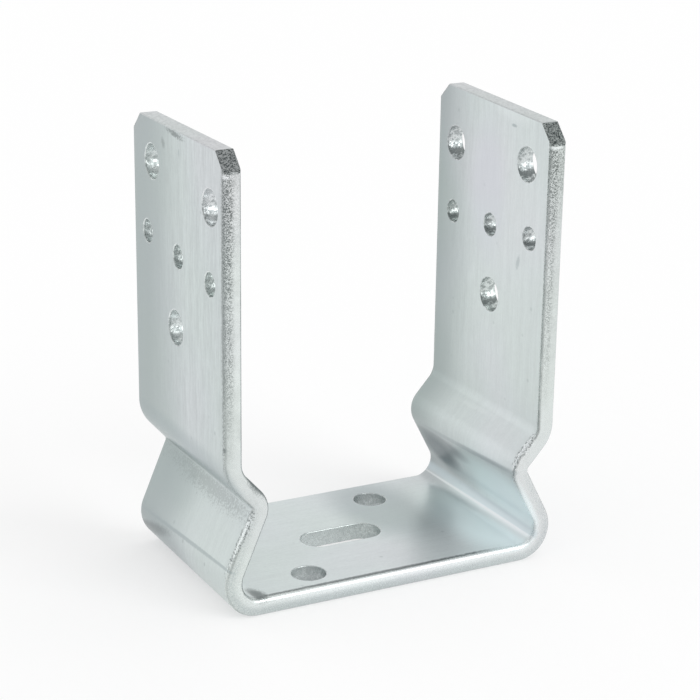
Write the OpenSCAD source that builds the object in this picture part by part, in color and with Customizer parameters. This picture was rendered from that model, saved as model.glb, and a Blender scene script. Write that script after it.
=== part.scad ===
// U-shaped post base, punched and folded from one flat steel strip.
// X runs across the post from leg to leg, Y runs across the strip, Z is up.
// The origin is the middle of the base's underside.

/* [Strip] */
// Width of the steel strip
strip_width = 60; // [50:1:120]
// Thickness of the steel strip
strip_thickness = 5; // [3:0.5:6]
// Rounding of the strip's long rolled edges
edge_radius = 1.2; // [0.4:0.1:1.4]

/* [Legs] */
// Clear width between the two legs, which takes the post
post_gap = 91; // [81:1:161]
// Height of the middle of each leg's top end above the base's underside
leg_height = 126.75; // [115:0.25:240]
// How far the +X leg's end is cut out of square, in degrees, high at the back
right_end_skew = 2; // [0:0.25:4]
// Clip across each top corner, measured along both edges
corner_clip = 5; // [2:0.5:8]

/* [Seats] */
// Height of the corner where the +X leg and its seat would meet, on the strip's mid-line
right_seat_height = 37.5; // [36:0.5:50]
// Height of the same corner on the -X side
left_seat_height = 41; // [36:0.5:50]
// How far each seat leans in from its leg, on the strip's mid-line
seat_depth = 8.5; // [8:0.5:14]
// Slope of each seat, in degrees from upright
seat_slope = 42; // [35:1:50]
// Inside radius of the fold between leg and seat
upper_fold_radius = 6; // [2:0.5:7]
// Inside radius of the fold at the seat's nose
nose_fold_radius = 2; // [1:0.5:5]
// Inside radius of the folds between base and flares
base_fold_radius = 5; // [3:0.5:8]
// How much folding thins the strip, on each of its faces
fold_thinning = 0.05; // [0.02:0.01:0.2]

/* [Leg holes] */
// Diameter of the bolt holes
bolt_hole_d = 11; // [8:0.5:14]
// Diameter of the screw holes
screw_hole_d = 7; // [4:0.5:9]
// Drop from the +X leg's top end to its screw row, the middle of its hole group
right_group_drop = 35; // [33:0.25:42]
// Drop from the -X leg's top end to its screw row
left_group_drop = 33.5; // [33:0.25:42]
// Turn of the +X leg's hole group about its middle, in degrees
right_group_turn = 2.5; // [0:0.25:8]
// Turn of the -X leg's hole group about its middle, in degrees
left_group_turn = 5.75; // [0:0.25:8]
// Distance between the two upper bolt holes
bolt_pitch = 38.4; // [24:0.2:40]
// Distance from the screw row up to the bolt pair and down to the single bolt hole
bolt_row_step = 20.4; // [14:0.2:22]
// Distance between neighbouring screw holes
screw_pitch = 20.8; // [12:0.2:22]

/* [Base holes] */
// Diameter of the two anchor holes
anchor_hole_d = 11; // [8:0.5:14]
// Distance of each anchor hole from the slot's middle, along the base
anchor_offset_x = 20; // [16:0.5:24]
// Distance of each anchor hole from the slot's middle, across the strip
anchor_offset_y = 19.75; // [16:0.25:21]
// Place of the slot's middle along the base
slot_x = -1.5; // [-3:0.25:3]
// Place of the slot's middle across the strip
slot_y = -0.75; // [-1.5:0.25:1.5]
// Width of the middle slot
slot_width = 11; // [6:0.5:14]
// Length of the middle slot
slot_length = 25; // [16:0.5:32]

/* [Hidden] */

edge_fn = 32;
fold_fn = 128;
hole_fn = 64;

// Cutters reach this far past the faces they cut
cut_margin = 1;

// Mid-line radii of the three folds on each side
upper_mid_radius = upper_fold_radius + strip_thickness / 2;
nose_mid_radius = nose_fold_radius + strip_thickness / 2;
base_mid_radius = base_fold_radius + strip_thickness / 2;

// Mid-line of a leg, and the centre of the base fold below it, as [x, z].
// The base fold's outside is flush with the leg's outside.
leg_x = post_gap / 2 + strip_thickness / 2;
base_fold_centre = [leg_x - base_mid_radius, strip_thickness / 2 + base_mid_radius];
base_run = base_fold_centre[0];

// Drop from a seat's upper corner to the sharp corner of its nose
seat_drop = seat_depth / tan(seat_slope);
// Length that the upper fold takes from the straight on each side of its corner
upper_setback = upper_mid_radius * tan(seat_slope / 2);

half_turns = [0, 180];
seat_heights = [right_seat_height, left_seat_height];
group_drops = [right_group_drop, left_group_drop];
group_turns = [right_group_turn, left_group_turn];
end_skews = [right_end_skew, 0];
// Length past the middle of its end that a leg is folded with, before the end is cut
end_waste = strip_width / 2 * tan(right_end_skew) + cut_margin;

// Cross-section of the strip, with its thickness along X and its width along Y, drawn in by inset
module strip_section(inset = 0) {
    flat = [strip_thickness - 2 * edge_radius, strip_width - 2 * edge_radius];
    square([strip_thickness - 2 * inset, flat[1]], center = true);
    square([flat[0], strip_width - 2 * inset], center = true);
    for (side_x = [-1, 1], side_y = [-1, 1])
        translate([side_x * flat[0] / 2, side_y * flat[1] / 2])
            circle(r = edge_radius - inset, $fn = edge_fn);
}

// A straight length of strip along Z, with what follows it at its far end
module run(length) {
    linear_extrude(length)
        strip_section();
    translate([0, 0, length])
        children();
}

// A fold that turns the strip towards the post, or away from it, with what follows it at its far end.
// Its thinned section laps a little way into the straight at each end, and stays inside it there.
module fold(mid_radius, angle, away = false) {
    facing = away ? 180 : 0;
    lap = acos(1 - fold_thinning / (2 * mid_radius));
    rotate([0, 0, facing])
        translate([-mid_radius, 0, 0]) {
            rotate([90, 0, 0])
                rotate([0, 0, -lap])
                    rotate_extrude(angle = angle + 2 * lap, $fn = fold_fn)
                        translate([mid_radius, 0])
                            strip_section(fold_thinning);
            rotate([0, -angle, 0])
                translate([mid_radius, 0, 0])
                    rotate([0, 0, -facing])
                        children();
        }
}

// The flat base, from fold to fold
module base_plate() {
    translate([-base_run, 0, 0])
        rotate([0, 90, 0])
            run(2 * base_run);
}

// One side of the strip, followed from the base out and up to a leg's top end.
// The flare is the tangent from the nose's sharp corner to the base fold.
module side_arm(seat_height) {
    nose_corner = [leg_x - seat_depth, seat_height - seat_drop];
    nose_to_centre = base_fold_centre - nose_corner;
    centre_distance = norm(nose_to_centre);
    flare_angle = 90 + atan2(nose_to_centre[1], nose_to_centre[0]) + asin(base_mid_radius / centre_distance);
    nose_angle = flare_angle + seat_slope;
    nose_setback = nose_mid_radius * tan(nose_angle / 2);
    flare_run = sqrt(pow(centre_distance, 2) - pow(base_mid_radius, 2)) - nose_setback;
    seat_run = seat_depth / sin(seat_slope) - nose_setback - upper_setback;
    leg_run = leg_height + end_waste - seat_height - upper_setback;
    translate([base_run, 0, 0])
        rotate([0, 90, 0])
            fold(base_mid_radius, 90 + flare_angle)
                run(flare_run)
                    fold(nose_mid_radius, nose_angle, away = true)
                        run(seat_run)
                            fold(upper_mid_radius, seat_slope)
                                run(leg_run);
}

// A round punch through the strip, along Z and centred on the strip's mid-plane
module punch(diameter) {
    cylinder(h = strip_thickness + 2 * cut_margin, d = diameter, center = true, $fn = hole_fn);
}

// Cutter for the end of the +X leg, which takes off the waste and clips the two corners
module end_cutter(skew) {
    depth = strip_thickness + 2 * cut_margin;
    side = corner_clip * sqrt(2);
    translate([leg_x, 0, leg_height])
        rotate([skew, 0, 0]) {
            translate([0, 0, end_waste])
                cube([depth, strip_width + 4 * cut_margin, 2 * end_waste], center = true);
            for (side_y = [-1, 1])
                translate([0, side_y * strip_width / 2, 0])
                    rotate([45, 0, 0])
                        cube([depth, side, side], center = true);
        }
}

// Hole group of the leg on the +X side
module leg_punches(drop, turn) {
    translate([leg_x, 0, leg_height - drop])
        rotate([-turn, 0, 0])
            rotate([0, 90, 0]) {
                for (side = [-1, 1])
                    translate([-bolt_row_step, side * bolt_pitch / 2, 0])
                        punch(bolt_hole_d);
                translate([bolt_row_step, 0, 0])
                    punch(bolt_hole_d);
                for (step = [-1:1])
                    translate([0, step * screw_pitch, 0])
                        punch(screw_hole_d);
            }
}

// Slot with round ends in the middle of the base
module slot_punch() {
    height = strip_thickness + 2 * cut_margin;
    straight = slot_length - slot_width;
    cube([straight, slot_width, height], center = true);
    for (side = [-1, 1])
        translate([side * straight / 2, 0, 0])
            cylinder(h = height, d = slot_width, center = true, $fn = hole_fn);
}

module post_base() {
    color("#c3ccd0")
        difference() {
            translate([0, 0, strip_thickness / 2]) {
                base_plate();
                for (side = [0, 1])
                    rotate([0, 0, half_turns[side]])
                        side_arm(seat_heights[side]);
            }
            for (side = [0, 1])
                rotate([0, 0, half_turns[side]]) {
                    end_cutter(end_skews[side]);
                    leg_punches(group_drops[side], group_turns[side]);
                }
            translate([slot_x, slot_y, strip_thickness / 2]) {
                slot_punch();
                for (side = [-1, 1])
                    translate([side * anchor_offset_x, side * anchor_offset_y, 0])
                        punch(anchor_hole_d);
            }
        }
}

post_base();
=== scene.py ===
"""Dresses a U-shaped post base: one galvanised strip, clipped, punched and folded as the real one is made."""

import logging
import math
from dataclasses import dataclass, field
from enum import Enum
from typing import NamedTuple

import bmesh
import bpy
from mathutils import Matrix, Vector


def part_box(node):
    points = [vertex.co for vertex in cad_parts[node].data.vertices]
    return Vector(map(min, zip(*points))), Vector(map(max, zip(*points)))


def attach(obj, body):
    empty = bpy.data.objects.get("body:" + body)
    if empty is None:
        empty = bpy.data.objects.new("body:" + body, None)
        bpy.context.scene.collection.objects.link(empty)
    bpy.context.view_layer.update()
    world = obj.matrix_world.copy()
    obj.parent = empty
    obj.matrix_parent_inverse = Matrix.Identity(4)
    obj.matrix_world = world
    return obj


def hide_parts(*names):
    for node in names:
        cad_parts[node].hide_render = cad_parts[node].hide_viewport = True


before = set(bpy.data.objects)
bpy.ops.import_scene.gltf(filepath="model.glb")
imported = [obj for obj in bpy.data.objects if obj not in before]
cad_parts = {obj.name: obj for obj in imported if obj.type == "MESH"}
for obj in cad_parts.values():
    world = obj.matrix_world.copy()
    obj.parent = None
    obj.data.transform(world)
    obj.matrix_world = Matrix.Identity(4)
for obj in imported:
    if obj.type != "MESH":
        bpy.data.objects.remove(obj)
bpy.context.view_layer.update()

LOG = logging.getLogger("post_base")
MM = 0.001
TINY = 1e-6
NODE = "post_base"
BLANK_ATTRIBUTE = "blank"
HOLE_ATTRIBUTE = "hole"
NUMBER, VECTOR, COLOUR = "NodeSocketFloat", "NodeSocketVector", "NodeSocketColor"

Triple = tuple[float, float, float]
Colour = Triple
Inputs = dict[str | int, object]
Mesh = bmesh.types.BMesh
Socket = bpy.types.NodeSocket
Tree = bpy.types.NodeTree


class Zone(Enum):
    """Parts of the strip's surface that the mill and the press leave with a finish of their own."""

    FACE = 0
    EDGE = 1
    END = 2
    CLIP = 3
    WALL = 4


class Side(Enum):
    """The two halves of the strip, named by the sign of X."""

    LEFT = -1
    RIGHT = 1


class Ramp(NamedTuple):
    """A smooth passage of a value from one range to another."""

    low: float
    high: float
    to_low: float = 0.0
    to_high: float = 1.0


class Noise(NamedTuple):
    """A noise texture, by its features in a metre along each axis, its detail and its roughness."""

    scale: Triple
    detail: float = 2.0
    roughness: float = 0.5


def even(value: float) -> Triple:
    """The same value three times."""
    return value, value, value


def opaque(colour: Colour) -> tuple[float, float, float, float]:
    """A colour with full cover, as sockets take it."""
    return (*colour, 1.0)


@dataclass(frozen=True)
class Hole:
    """A punched hole in the flat blank, round or with round ends.

    Args:
        along: Place of its middle along the blank.
        across: Place of its middle across the blank.
        radius: Radius of its ends.
        straight: Length between the middles of its two ends, along the blank.
        segments: Number of corners of its outline.
    """

    along: float
    across: float
    radius: float
    straight: float = 0.0
    segments: int = 48

    def distance(self, along: float, across: float) -> float:
        """Distance of a point of the blank from the hole's middle line."""
        beyond = max(abs(along - self.along) - self.straight / 2, 0.0)
        return math.hypot(beyond, across - self.across)


@dataclass(frozen=True)
class Fold:
    """One fold of the strip, with its own radius on each face.

    Args:
        corner: Sharp corner of the strip's mid-line, as x and z.
        before: Direction of the mid-line before the fold.
        after: Direction of the mid-line after the fold.
        hollow_radius: Radius on the face that the fold closes.
        round_radius: Radius on the face that the fold opens.
    """

    corner: Vector
    before: Vector
    after: Vector
    hollow_radius: float
    round_radius: float

    @property
    def turn(self) -> float:
        """Signed angle of the fold, positive where it closes the face towards the post."""
        cross = self.before.x * self.after.y - self.before.y * self.after.x
        return math.atan2(cross, self.before.dot(self.after))

    @property
    def mid_radius(self) -> float:
        """Radius of the mid-line."""
        return (self.hollow_radius + self.round_radius) / 2

    @property
    def setback(self) -> float:
        """Length that the fold takes from the mid-line on each side of its corner."""
        return self.mid_radius * math.tan(abs(self.turn) / 2)

    @property
    def length(self) -> float:
        """Length of the mid-line within the fold."""
        return self.mid_radius * abs(self.turn)

    def face_radius(self, height: float) -> float:
        """Radius on the face at a height above or below the mid-line."""
        return self.hollow_radius if height * self.turn > 0 else self.round_radius

    def face_corner(self, height: float) -> Vector:
        """Sharp corner of the face at a height above the mid-line."""
        first, second = inner_normal(self.before), inner_normal(self.after)
        return self.corner + (first + second) * (height / (1 + first.dot(second)))

    def face_point(self, height: float, share: float) -> Vector:
        """Point on a face within the fold.

        Args:
            height: Height of the face above the mid-line.
            share: Share of the fold passed, from 0 to 1.

        Returns:
            The point's x and z.
        """
        radius = self.face_radius(height)
        start = self.face_corner(height) - self.before * (radius * math.tan(abs(self.turn) / 2))
        sign = math.copysign(1.0, self.turn)
        centre = start + inner_normal(self.before) * (sign * radius)
        return centre + Matrix.Rotation(self.turn * share, 2) @ (start - centre)


def inner_normal(direction: Vector) -> Vector:
    """Normal of a mid-line direction, on the side that faces the post."""
    return Vector((-direction.y, direction.x))


@dataclass
class FoldedPath:
    """Mid-line of one half of the strip, from the middle of the base to a leg's top end.

    Args:
        folds: The folds in order, outwards from the base.
        start: Middle of the base, as x and z.
        end: Top end of the leg, as x and z.
        thickness: Thickness of the strip.
    """

    folds: list[Fold]
    start: Vector
    end: Vector
    thickness: float
    breaks: list[float] = field(init=False)

    def __post_init__(self) -> None:
        """Works out where each straight and each fold ends along the flat blank."""
        corners = [self.start] + [fold.corner for fold in self.folds] + [self.end]
        setbacks = [0.0] + [fold.setback for fold in self.folds] + [0.0]
        self.breaks = [0.0]
        for index in range(len(corners) - 1):
            whole = (corners[index + 1] - corners[index]).length
            straight = whole - setbacks[index] - setbacks[index + 1]
            self.breaks.append(self.breaks[-1] + straight)
            if index < len(self.folds):
                self.breaks.append(self.breaks[-1] + self.folds[index].length)

    @property
    def length(self) -> float:
        """Length of this half of the flat blank."""
        return self.breaks[-1]

    def stretch(self, along: float) -> tuple[int, float]:
        """Finds the straight or fold at a place along the blank.

        Args:
            along: Distance from the middle of the base.

        Returns:
            Its number, even for straights and odd for folds, and the share of it passed.
        """
        index = 0
        while index < len(self.breaks) - 2 and along > self.breaks[index + 1]:
            index += 1
        return index, (along - self.breaks[index]) / (self.breaks[index + 1] - self.breaks[index])

    def face_point(self, along: float, height: float) -> Vector:
        """Point on a face of the folded strip.

        Args:
            along: Distance along the flat blank from the middle of the base.
            height: Height of the face above the mid-line.

        Returns:
            The point's x and z.
        """
        index, share = self.stretch(along)
        number = index // 2
        if index % 2:
            return self.folds[number].face_point(height, share)
        if number:
            first = self.folds[number - 1].face_point(height, 1.0)
        else:
            first = self.start + Vector((0.0, height))
        if number < len(self.folds):
            last = self.folds[number].face_point(height, 0.0)
        else:
            last = self.end + inner_normal(self.folds[-1].after) * height
        return first.lerp(last, share)

    def place(self, along: float, height: float) -> Vector:
        """Point within the folded strip.

        Args:
            along: Distance along the flat blank from the middle of the base.
            height: Height above the mid-line.

        Returns:
            The point's x and z.
        """
        outer = self.face_point(along, -self.thickness / 2)
        inner = self.face_point(along, self.thickness / 2)
        return outer.lerp(inner, height / self.thickness + 0.5)

    def swell(self, along: float, height: float) -> float:
        """How far folding spreads the strip sideways.

        Args:
            along: Distance along the flat blank from the middle of the base.
            height: Height above the mid-line.

        Returns:
            The spread as a share of the most in a square fold, positive on the face that the fold closes.
        """
        index, share = self.stretch(along)
        if index % 2 == 0:
            return 0.0
        square_folds = self.folds[index // 2].turn / (math.pi / 2)
        return math.sin(math.pi * share) * (2 * height / self.thickness) * square_folds


@dataclass(frozen=True)
class ZincFinish:
    """Look of one zone of the galvanised steel.

    Args:
        colour: Colour of the clean zinc, in linear light.
        dark_colour: Colour of its dark grains, of the painted shade towards the back edge on the faces, and
            of the painted dark line along the edges, in linear light.
        roughness: Mean roughness.
        roughness_spread: Change of roughness with the grain.
        metallic: Share of metal in the shading.
        grain_size: Size of the zinc's grain.
        grain_depth: Height of the grain.
        grain_contrast: Share of the dark colour that the grain shows.
    """

    colour: Colour
    dark_colour: Colour
    roughness: float
    roughness_spread: float
    metallic: float
    grain_size: float
    grain_depth: float
    grain_contrast: float


FINISHES = {
    Zone.FACE: ZincFinish(
        colour=(0.660, 0.700, 0.700), dark_colour=(0.40, 0.445, 0.445), roughness=0.31, roughness_spread=0.03,
        metallic=0.62, grain_size=0.6 * MM, grain_depth=0.005 * MM, grain_contrast=0.06,
    ),
    Zone.EDGE: ZincFinish(
        colour=(0.690, 0.715, 0.705), dark_colour=(0.14, 0.155, 0.15), roughness=0.27, roughness_spread=0.12,
        metallic=0.75, grain_size=0.23 * MM, grain_depth=0.03 * MM, grain_contrast=0.90,
    ),
    Zone.END: ZincFinish(
        colour=(0.600, 0.620, 0.620), dark_colour=(0.34, 0.36, 0.36), roughness=0.42, roughness_spread=0.10,
        metallic=0.75, grain_size=0.5 * MM, grain_depth=0.02 * MM, grain_contrast=0.20,
    ),
    Zone.CLIP: ZincFinish(
        colour=(0.310, 0.330, 0.325), dark_colour=(0.02, 0.03, 0.03), roughness=0.42, roughness_spread=0.2,
        metallic=0.75, grain_size=0.22 * MM, grain_depth=0.04 * MM, grain_contrast=0.95,
    ),
    Zone.WALL: ZincFinish(
        colour=(0.690, 0.720, 0.715), dark_colour=(0.22, 0.25, 0.25), roughness=0.30, roughness_spread=0.16,
        metallic=0.62, grain_size=0.7 * MM, grain_depth=0.09 * MM, grain_contrast=0.60,
    ),
}


@dataclass(frozen=True)
class Mark:
    """A local mark on the strip, with its place on the flat blank, in millimetres and degrees.

    Args:
        along: Place of its middle along the blank.
        across: Place of its middle across the blank.
        through: Place of its middle through the blank, positive on the face towards the post.
        half_length: Half its size along the blank, before its turn.
        half_width: Half its size across the blank, before its turn.
        colour: Its colour, in linear light.
        strength: Its strength, from 0 to 1.
        turn: Its turn on the blank.
        ragged: How much its outline wanders, as a share of its size.
        depth: How far it reaches through the blank.
    """

    along: float
    across: float
    through: float
    half_length: float
    half_width: float
    colour: Colour
    strength: float
    turn: float = 0.0
    ragged: float = 0.8
    depth: float = 2.5

    @property
    def middle(self) -> Triple:
        """Its middle on the blank, in metres."""
        return self.along * MM, self.across * MM, self.through * MM

    @property
    def half_size(self) -> Triple:
        """Half its size along, across and through the blank, in metres."""
        return self.half_length * MM, self.half_width * MM, self.depth * MM


INNER, OUTER = 2.5, -2.5
# Dark colour of scuffs and pits, and also of painted shade and painted dark reflections
SOOT_AND_SHADE: Colour = (0.16, 0.18, 0.18)
# Dark blue-grey of painted shade under the right nose
PAINTED_SHADE_STEEL: Colour = (0.12, 0.16, 0.175)
# Even light grey of painted light on the walls of the base's holes
PAINTED_LIGHT_ASH: Colour = (0.56, 0.59, 0.59)
# Grey of dull scuffs, and also of painted shade
DULL_AND_SHADE: Colour = (0.36, 0.41, 0.42)
# Near white of painted highlights and painted light
PAINTED_LIGHT_WHITE: Colour = (0.92, 0.95, 0.95)
# Cool grey of painted shade on the left leg's lower bend
PAINTED_SHADE_COLD: Colour = (0.30, 0.36, 0.38)
# Pale blue-white of painted light on the base and the right flare
PAINTED_LIGHT_PALE: Colour = (0.86, 0.95, 0.95)
# Blue-grey of painted shade in the right base fold
PAINTED_SHADE_CHILL: Colour = (0.54, 0.63, 0.66)
LAVENDER: Colour = (0.675, 0.695, 0.735)

# Scuffs, pits and tints of the zinc, and painted highlights, dark reflections, light and shade
MARKS = {
    "left_top_scuff": Mark(-172.4, 1.0, OUTER, 1.0, 6.5, SOOT_AND_SHADE, 0.85, turn=-4.0, ragged=3.0),
    "left_short_scuff": Mark(-168.5, 9.0, OUTER, 2.0, 1.4, SOOT_AND_SHADE, 0.50, turn=35.0, ragged=1.8),
    "left_small_scuff": Mark(-168.0, -1.5, OUTER, 1.4, 0.7, DULL_AND_SHADE, 0.50, ragged=1.2),
    # Painted shade on the lower bend of the left leg, where it turns under
    "left_bend_painted_shade": Mark(-85.5, 4.0, OUTER, 7.5, 60.0, PAINTED_SHADE_COLD, 0.55, ragged=0.0),
    "left_crease_pits": Mark(-71.0, -4.0, OUTER, 3.6, 30.0, SOOT_AND_SHADE, 0.38, ragged=4.4),
    "left_flare_haze": Mark(-66.0, 14.0, OUTER, 10.0, 18.0, DULL_AND_SHADE, 0.22, ragged=0.5),
    "left_fold_line": Mark(-55.0, -7.0, OUTER, 0.6, 60.0, DULL_AND_SHADE, 0.65, turn=2.5),
    # Painted shade, darkest, at the back of the outer left base fold
    "left_fold_painted_deep_shade": Mark(-49.7, 24.0, OUTER, 2.2, 19.0, SOOT_AND_SHADE, 0.98, turn=12.0, ragged=0.7),
    "left_fold_shade": Mark(-46.0, 14.0, OUTER, 10.0, 28.0, DULL_AND_SHADE, 0.50, ragged=0.3),
    # Painted highlight on the rounded left bead, with a painted dark reflection beside it
    "left_bead_painted_dark_reflection": Mark(-65.0, -28.9, OUTER, 10.0, 1.2, SOOT_AND_SHADE, 0.90, turn=-4.0, ragged=-3.2),
    "left_bead_painted_highlight": Mark(-65.0, -29.0, OUTER, 9.5, 0.9, PAINTED_LIGHT_WHITE, 0.95, turn=-4.0, ragged=3.6),
    # Painted shade in the inner corner of the left base fold
    "left_corner_painted_shade": Mark(-40.4, -27.0, INNER, 3.4, 6.5, SOOT_AND_SHADE, 0.90, turn=-18.0, ragged=1.0),
    "left_seat_soot": Mark(-80.5, -29.4, 2.4, 5.2, 1.2, SOOT_AND_SHADE, 0.90, ragged=1.2),
    "left_edge_spot": Mark(-94.8, -29.0, OUTER, 1.0, 1.0, SOOT_AND_SHADE, 0.75),
    # Painted highlights on the rounded lips under the clipped corners
    "left_lip_painted_highlight": Mark(-167.6, -29.4, -2.2, 0.9, 1.1, PAINTED_LIGHT_WHITE, 0.85, ragged=1.6),
    "right_lip_painted_highlight": Mark(166.4, -29.5, 0.8, 0.8, 3.0, PAINTED_LIGHT_WHITE, 0.80),
    # Painted highlight along the top rounding of the base's front edge
    "base_front_painted_highlight": Mark(0.0, -29.8, 1.2, 60.0, 0.9, PAINTED_LIGHT_WHITE, 0.85, ragged=2.8),
    # Painted dark reflection along the base's front edge, above its highlight
    "base_front_painted_dark_reflection": Mark(-4.0, -28.5, INNER, 70.0, 0.90, SOOT_AND_SHADE, 0.95, ragged=1.6),
    # Painted shade on the middle and right of the base
    "base_painted_shade": Mark(18.0, 12.0, INNER, 18.0, 32.0, DULL_AND_SHADE, 0.68, ragged=0.0),
    # Painted light on the base beside the right flare
    "base_right_painted_light": Mark(40.0, -10.0, INNER, 16.0, 38.0, PAINTED_LIGHT_PALE, 0.95, ragged=0.0),
    # Painted shade over the left leg's outer face
    "left_leg_painted_shade": Mark(-132.0, 0.0, OUTER, 90.0, 80.0, DULL_AND_SHADE, 0.20, ragged=0.0),
    # Painted light over the front of the right leg
    "right_leg_painted_light": Mark(122.0, -16.0, INNER, 72.0, 34.0, PAINTED_LIGHT_WHITE, 0.24, ragged=0.0),
    # Painted light on the front of the right flare
    "right_flare_painted_light": Mark(60.0, -16.0, INNER, 16.0, 30.0, PAINTED_LIGHT_PALE, 0.95, ragged=0.0),
    # Painted shade at the back of the right flare, under the nose
    "right_flare_painted_shade": Mark(61.0, 20.0, INNER, 8.5, 14.0, PAINTED_SHADE_STEEL, 0.92, ragged=0.0),
    "right_nose_shade": Mark(66.0, 16.0, INNER, 5.0, 20.0, PAINTED_SHADE_STEEL, 0.65, ragged=0.0),
    # Painted terminator, a line of shade, along the right nose
    "right_nose_painted_terminator": Mark(70.4, 0.0, INNER, 0.6, 60.0, DULL_AND_SHADE, 0.45, turn=-2.2, ragged=0.4),
    # Painted shade in the right base fold
    "right_fold_painted_shade": Mark(49.0, 0.0, INNER, 3.0, 80.0, PAINTED_SHADE_CHILL, 0.55, ragged=0.0),
    # Painted highlight along the right base fold, with a wider, fainter band at its front
    "right_fold_painted_highlight": Mark(46.8, 0.0, INNER, 0.8, 44.0, PAINTED_LIGHT_WHITE, 0.75, turn=-1.3, ragged=0.3),
    "right_fold_painted_highlight_wide": Mark(46.6, -16.0, INNER, 1.3, 19.0, PAINTED_LIGHT_WHITE, 0.45, turn=-1.3, ragged=0.3),
    # Painted highlight along the fold between the right leg and its seat
    "right_seat_painted_highlight": Mark(80.0, 0.5, INNER, 1.2, 12.0, PAINTED_LIGHT_WHITE, 0.14, turn=-3.0, ragged=0.4),
    "right_top_pale": Mark(173.0, -10.0, INNER, 4.2, 16.0, PAINTED_LIGHT_WHITE, 0.20, turn=4.0, ragged=0.35),
    "right_lavender": Mark(148.0, 2.0, INNER, 26.0, 13.0, LAVENDER, 0.60, ragged=0.0),
    "right_top_scuff": Mark(168.9, -11.0, INNER, 0.6, 1.8, DULL_AND_SHADE, 0.70, ragged=0.9),
    "right_low_scuff": Mark(131.0, -15.5, INNER, 3.0, 1.1, DULL_AND_SHADE, 0.50, turn=15.0, ragged=1.2),
    "left_torn": Mark(-132.0, -28.7, OUTER, 62.0, 1.0, SOOT_AND_SHADE, 0.60, ragged=3.0),
    # Painted shade, with a ragged outline, on the lower rounding of the base's front edge
    "base_front_painted_shade": Mark(0.0, -30.0, -1.2, 80.0, 2.0, DULL_AND_SHADE, 0.50, ragged=2.4),
    # Painted highlight on the rounded right bead, with a painted dark reflection beside it
    "right_bead_painted_dark_reflection": Mark(77.0, -28.7, 2.3, 6.5, 1.2, SOOT_AND_SHADE, 0.85, ragged=-3.2),
    "right_bead_painted_highlight": Mark(77.0, -28.9, 2.2, 6.5, 1.0, PAINTED_LIGHT_WHITE, 0.95, ragged=3.6),
}


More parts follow.
